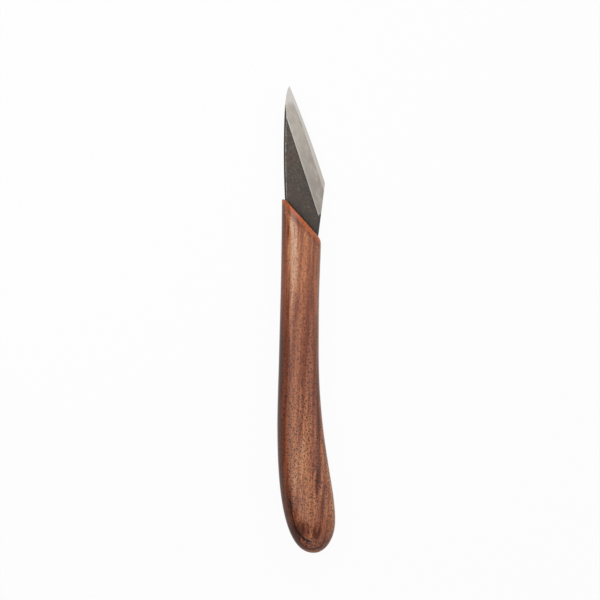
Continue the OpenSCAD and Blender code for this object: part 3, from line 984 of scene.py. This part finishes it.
def forge_scale(finish, plan, origin):
    """Black oxide left by the forge and the quench. The eye sees a dull, warm dark grey with brown patches,
    a few bright specks, painted shade along the bevel's shoulder and towards the handle, and a painted
    shadow line in the resin's colour at the mouth."""
    cloud_mm = (0.9, 2.2, 0.9)
    patch_mm = 5.0
    mottle_mm = 0.9
    grit_mm = 0.35
    speck_mm = 0.5
    blade = plan.blade
    mouth, heel = plan.mouth_y / MM, plan.heel.y / MM
    shoulder = (plan.edge_centre.dot(plan.square_out) + blade.edge_radius - blade.bevel_width) / MM
    handle_shade_mm = (mouth, heel + 14.0)
    shoulder_shade_mm = (shoulder - 0.75, shoulder - 0.35)
    mouth_shadow_mm = (mouth + 0.5, mouth + 1.1)
    material, add, in_mm = new_material("forge scale on iron", origin)
    parts = add("SeparateXYZ", in_mm)
    x, y = parts.outputs["X"], parts.outputs["Y"]

    # Painted shade: the scale is drawn darker towards the handle
    cloud = clouds(add, in_mm, cloud_mm, 4.0, roughness=0.65)
    thin = add("MapRange", y, *handle_shade_mm, -0.35, -0.1)
    tone = add("Math", cloud, thin, operation="ADD")
    mottle = add("TexNoise", in_mm, Scale=1 / mottle_mm, Detail=2.0)
    mottle = add("Math", mottle, 1.4, -0.7, operation="MULTIPLY_ADD")
    tone = add("Math", tone, mottle, operation="ADD")
    shade = add("ValToRGB", tone, stops=(
        (0.2, finish.scale_dark), (0.5, finish.scale_middle), (0.7, finish.scale_light)))

    # Over it lie rust in patches, bare iron in specks, painted shade along the shoulder and a painted shadow
    # in the resin's colour at the mouth
    patch = add("TexNoise", in_mm, Scale=1 / patch_mm, Detail=3.0)
    rusty = add("MapRange", patch, 0.42, 0.68, 0.0, 0.3, **SMOOTH)
    speck = add("TexNoise", in_mm, Scale=1 / speck_mm, Detail=1.0)
    bare = add("MapRange", speck, 0.7, 0.8, 0.0, 0.7, **SMOOTH)
    # Painted shade along the bevel's shoulder
    to_edge = add("VectorMath", in_mm, (*plan.square_out, 0.0), operation="DOT_PRODUCT")
    shoulder_shade = add("MapRange", to_edge, *shoulder_shade_mm, 0.0, 0.75, **SMOOTH)
    # Painted shadow at the handle's mouth, in the resin's colour
    past_mouth = add("Math", x, plan.mouth_slope, y, operation="MULTIPLY_ADD")
    resin = add("MapRange", past_mouth, *mouth_shadow_mm, 0.9, 0.0, **SMOOTH)
    shade = add("Mix", rusty, shade, finish.scale_brown, data_type="RGBA")
    shade = add("Mix", bare, shade, finish.iron, data_type="RGBA")
    shade = add("Mix", shoulder_shade, shade, finish.scale_thick, data_type="RGBA")
    shade = add("Mix", resin, shade, finish.resin, data_type="RGBA")
    rough = add("MapRange", cloud, 0.3, 0.7, 0.5, 0.65)
    grit = add("TexNoise", in_mm, Scale=1 / grit_mm, Detail=2.0)
    bump = add("Bump", Strength=0.4, Distance=0.03 * MM, Height=grit)
    return surfaced(material, add, Base_Color=shade, Metallic=0.4, Roughness=rough, Normal=bump)


def thick_scale(finish, origin):
    """Scale that no hand or stone has reached, in the forged chamfers. The eye sees it nearly black and a
    bit glossy."""
    cloud_mm = 0.8
    material, add, in_mm = new_material("unrubbed forge scale", origin)
    cloud = add("TexNoise", in_mm, Scale=1 / cloud_mm, Detail=3.0)
    shade = add("ValToRGB", cloud, stops=((0.35, finish.scale_thick), (0.75, finish.scale_dark)))
    bump = add("Bump", Strength=0.4, Distance=0.03 * MM, Height=cloud)
    return surfaced(material, add, Base_Color=shade, Roughness=0.45, Normal=bump)


def worn_scale(finish, plan, origin):
    """Edge of a chamfer where handling has rubbed the scale off in spots, most near the tip. The eye sees a
    thin, broken bright line."""
    spot_mm = 0.9
    rubbed_mm = (plan.heel.y / MM, plan.tip.y / MM - 16.0)
    material, add, in_mm = new_material("forge scale worn to iron", origin)
    spot = add("TexNoise", in_mm, Scale=1 / spot_mm, Detail=3.0)
    y = add("SeparateXYZ", in_mm).outputs["Y"]
    rubbing = add("MapRange", y, *rubbed_mm, 0.45, 0.7)
    bare = add("MapRange", spot, 0.42, 0.6, 0.0, rubbing, **SMOOTH)
    shade = add("Mix", bare, finish.scale_light, finish.iron, data_type="RGBA")
    return surfaced(material, add, Base_Color=shade, Metallic=bare, Roughness=0.5)


def ground_iron(finish, plan, origin):
    """Soft iron ground on a fine wheel. The eye sees a soft grey with faint cloud and lines across the
    bevel. It is painted darker towards the heel, as painted shade in its reflection, and the stone brings
    the tip up as bright as the steel. The wheel's lines are drawn coarser than they are, to show."""
    line_mm = (0.12, 4.0, 0.12)
    cloud_mm = (2.5, 7.0, 2.5)
    smear_mm = (0.8, 3.0, 0.8)
    heel, tip = plan.heel.y / MM, plan.tip.y / MM
    nose_mm = (tip - 9.0, tip - 5.5)
    material, add, in_mm = new_material("ground soft iron", origin)
    line = clouds(add, in_mm, line_mm, 3.0, plan.shoulder_turn - math.pi / 2)
    cloud = clouds(add, in_mm, cloud_mm, 2.0, plan.shoulder_turn)
    smear = clouds(add, in_mm, smear_mm, 2.0, plan.shoulder_turn)
    y = add("SeparateXYZ", in_mm).outputs["Y"]
    # Painted shade in the reflection: darker towards the heel, brighter towards the tip
    honed = add("MapRange", y, heel, tip, -0.3, 0.4)
    bright = add("Math", cloud, honed, operation="ADD")
    smear = add("Math", smear, 0.9, -0.45, operation="MULTIPLY_ADD")
    bright = add("Math", bright, smear, operation="ADD")
    shade = add("ValToRGB", bright, stops=((0.1, finish.iron_dull), (0.8, finish.iron)))
    nose = add("MapRange", y, *nose_mm, 0.0, 0.65, **SMOOTH)
    shade = add("Mix", nose, shade, finish.steel, data_type="RGBA")
    rough = add("MapRange", line, 0.3, 0.7, 0.36, 0.46)
    bump = add("Bump", Strength=0.15, Distance=0.01 * MM, Height=line)
    return surfaced(material, add, Base_Color=shade, Metallic=1.0, Roughness=rough, Normal=bump)


def edge_steel(finish, plan, origin):
    """Hard carbon steel finished on a fine stone. The eye sees a brighter, smoother grey than the iron's,
    painted darker towards the heel as shade in its reflection. The stone's lines are drawn coarser than
    they are, to show."""
    line_mm = (0.1, 5.0, 0.1)
    material, add, in_mm = new_material("stone-finished carbon steel", origin)
    line = clouds(add, in_mm, line_mm, 3.0, plan.shoulder_turn)
    rough = add("MapRange", line, 0.3, 0.7, 0.26, 0.34)
    bump = add("Bump", Strength=0.1, Distance=0.01 * MM, Height=line)
    y = add("SeparateXYZ", in_mm).outputs["Y"]
    # Painted shade in the reflection: the steel turns darker towards the heel
    honed = add("MapRange", y, plan.heel.y / MM, plan.tip.y / MM, 0.25, 1.0)
    shade = add("Mix", honed, finish.iron, finish.steel, data_type="RGBA")
    return surfaced(material, add, Base_Color=shade, Metallic=1.0, Roughness=rough, Normal=bump)


def cast_resin(finish, origin):
    """Two-part resin, poured in dark and set. The eye sees only a dark line in the gap at the mouth."""
    cloud_mm = 2.0
    material, add, in_mm = new_material("cast epoxy resin", origin)
    cloud = add("TexNoise", in_mm, Scale=1 / cloud_mm, Detail=2.0)
    rough = add("MapRange", cloud, 0.0, 1.0, 0.3, 0.5)
    return surfaced(material, add, Base_Color=finish.resin, Roughness=rough)


class KNIFE_OT_stage(bpy.types.Operator):
    """Lay the floor, hang the softboxes and set the camera straight above the knife"""
    bl_idname = "knife.stage"
    bl_label = "Studio floor"

    # Middle of each softbox and its size, in metres. The hung ones face down, and the others face the knife.
    SOFTBOXES = {
        "key": (Vector((0.28, 0.79, 0.71)), (0.6, 0.5)),
        "overhead": (Vector((0.3, -0.03, 0.9)), (2.2, 0.75)),
        "glow": (Vector((-0.48, -0.03, 0.88)), (0.9, 0.75)),
        "accent": (Vector((-0.175, 0.095, 0.28)), (0.2, 0.15)),
        "fill": (Vector((1.26, 0.3, 0.82)), (1.4, 1.0)),
        "back": (Vector((0.5, -1.15, 0.68)), (1.8, 1.0)),
    }
    HUNG = ("overhead", "glow", "accent")
    DOWN = Vector((0, 0, -1))
    FLOOR_GAP = 0.05 * MM
    FLOOR_SIDES = 96
    RIM_RINGS = 12
    FLAT_SHARE = 0.7

    def floor(self, stage):
        """A round floor, mostly flat, whose rim curves up so that no edge shows from low down."""
        sides = self.FLOOR_SIDES
        radius = stage.sweep_width / 2
        z = CAD_BOX[0].z - self.FLOOR_GAP
        profile = []
        for i in range(self.RIM_RINGS + 1):
            part = i / self.RIM_RINGS
            out = self.FLAT_SHARE + (1 - self.FLAT_SHARE) * part
            profile.append((radius * out, z + stage.sweep_rise * part * part))
        vertices = []
        for out, up in profile:
            for j in range(sides):
                turn = 2 * math.pi * j / sides
                vertices.append(Vector((out * math.cos(turn), out * math.sin(turn), up)))
        faces = [list(range(sides)), *skin(self.RIM_RINGS + 1, sides, True)]
        mesh_object("paper_sweep", vertices, faces, [self.paper(stage)])

    def paper(self, stage):
        """Matt white paper, which the camera and reflections see as plain white but for a shadow."""
        material, add = bare_material("matt white paper sweep")
        matt = add("BsdfDiffuse", Color=stage.sweep)
        white = add("Emission", Strength=1.0)
        path = add("LightPath")
        seen = path.outputs["Is Camera Ray"]
        for other in ("Is Glossy Ray", "Is Transmission Ray"):
            seen = add("Math", seen, path.outputs[other], operation="MAXIMUM")
        amount = add("Math", seen, stage.sweep_white, operation="MULTIPLY")
        mixed = add("MixShader", amount, matt, white)
        add("OutputMaterial", mixed)
        return material

    def walls(self, scene, stage):
        world = bpy.data.worlds.new("white studio")
        world.use_nodes = True
        scene.world = world
        tree = world.node_tree
        tree.nodes.clear()
        back = add_node(tree, "Background", Color=stage.room, Strength=1.0)
        add_node(tree, "OutputWorld", back)

    def softbox(self, scene, name, cards):
        """A lamp whose face is as bright as a white card in full light, times cards."""
        place, size = self.SOFTBOXES[name]
        facing = self.DOWN if name in self.HUNG else -place
        lamp = bpy.data.lights.new(f"{name} softbox", "AREA")
        lamp.shape = "RECTANGLE"
        lamp.size, lamp.size_y = size
        lamp.energy = cards * math.pi * size[0] * size[1]
        made = bpy.data.objects.new(lamp.name, lamp)
        made.location = place
        made.rotation_euler = facing.to_track_quat("-Z", "Y").to_euler()
        scene.collection.objects.link(made)

    def camera(self, scene, stage):
        data = bpy.data.cameras.new("camera")
        data.lens = stage.lens
        made = bpy.data.objects.new("camera", data)
        distance = stage.view_width * data.lens / data.sensor_width
        made.location = frame_origin(scene.knife_handle) + Vector((0, stage.view_reach, distance))
        scene.collection.objects.link(made)
        scene.camera = made

    def execute(self, context):
        scene = context.scene
        stage = scene.knife_stage
        scene.view_settings.view_transform = "Standard"
        self.floor(stage)
        self.walls(scene, stage)
        for name in self.SOFTBOXES:
            self.softbox(scene, name, getattr(stage, name))
        self.camera(scene, stage)
        return {"FINISHED"}


class KNIFE_PT_sidebar(bpy.types.Panel):
    """Buttons and sizes of the garden knife"""
    bl_label = "Garden Knife"
    bl_idname = "KNIFE_PT_sidebar"
    bl_space_type = "VIEW_3D"
    bl_region_type = "UI"
    bl_category = "Knife"

    def draw(self, context):
        layout = self.layout
        for operator in OPERATORS:
            layout.operator(operator.bl_idname)
        for label, group in GROUPS.items():
            box = layout.box()
            box.label(text=label.replace("knife_", "").title())
            settings = getattr(context.scene, label)
            for name in group.__annotations__:
                box.prop(settings, name)


GROUPS = {
    "knife_handle": HandleSettings,
    "knife_blade": BladeSettings,
    "knife_finish": FinishSettings,
    "knife_stage": StageSettings,
}
OPERATORS = (KNIFE_OT_stage, KNIFE_OT_handle, KNIFE_OT_blade, KNIFE_OT_bedding)


def register():
    for made in (*GROUPS.values(), *OPERATORS, KNIFE_PT_sidebar):
        bpy.utils.register_class(made)
    for name, group in GROUPS.items():
        setattr(bpy.types.Scene, name, PointerProperty(type=group))


def unregister():
    for name in GROUPS:
        delattr(bpy.types.Scene, name)
    for made in reversed((*GROUPS.values(), *OPERATORS, KNIFE_PT_sidebar)):
        bpy.utils.unregister_class(made)


def main():
    register()
    bpy.ops.knife.stage()
    bpy.ops.knife.handle()
    bpy.ops.knife.blade()
    bpy.ops.knife.bedding()


if __name__ == "__main__":
    main()
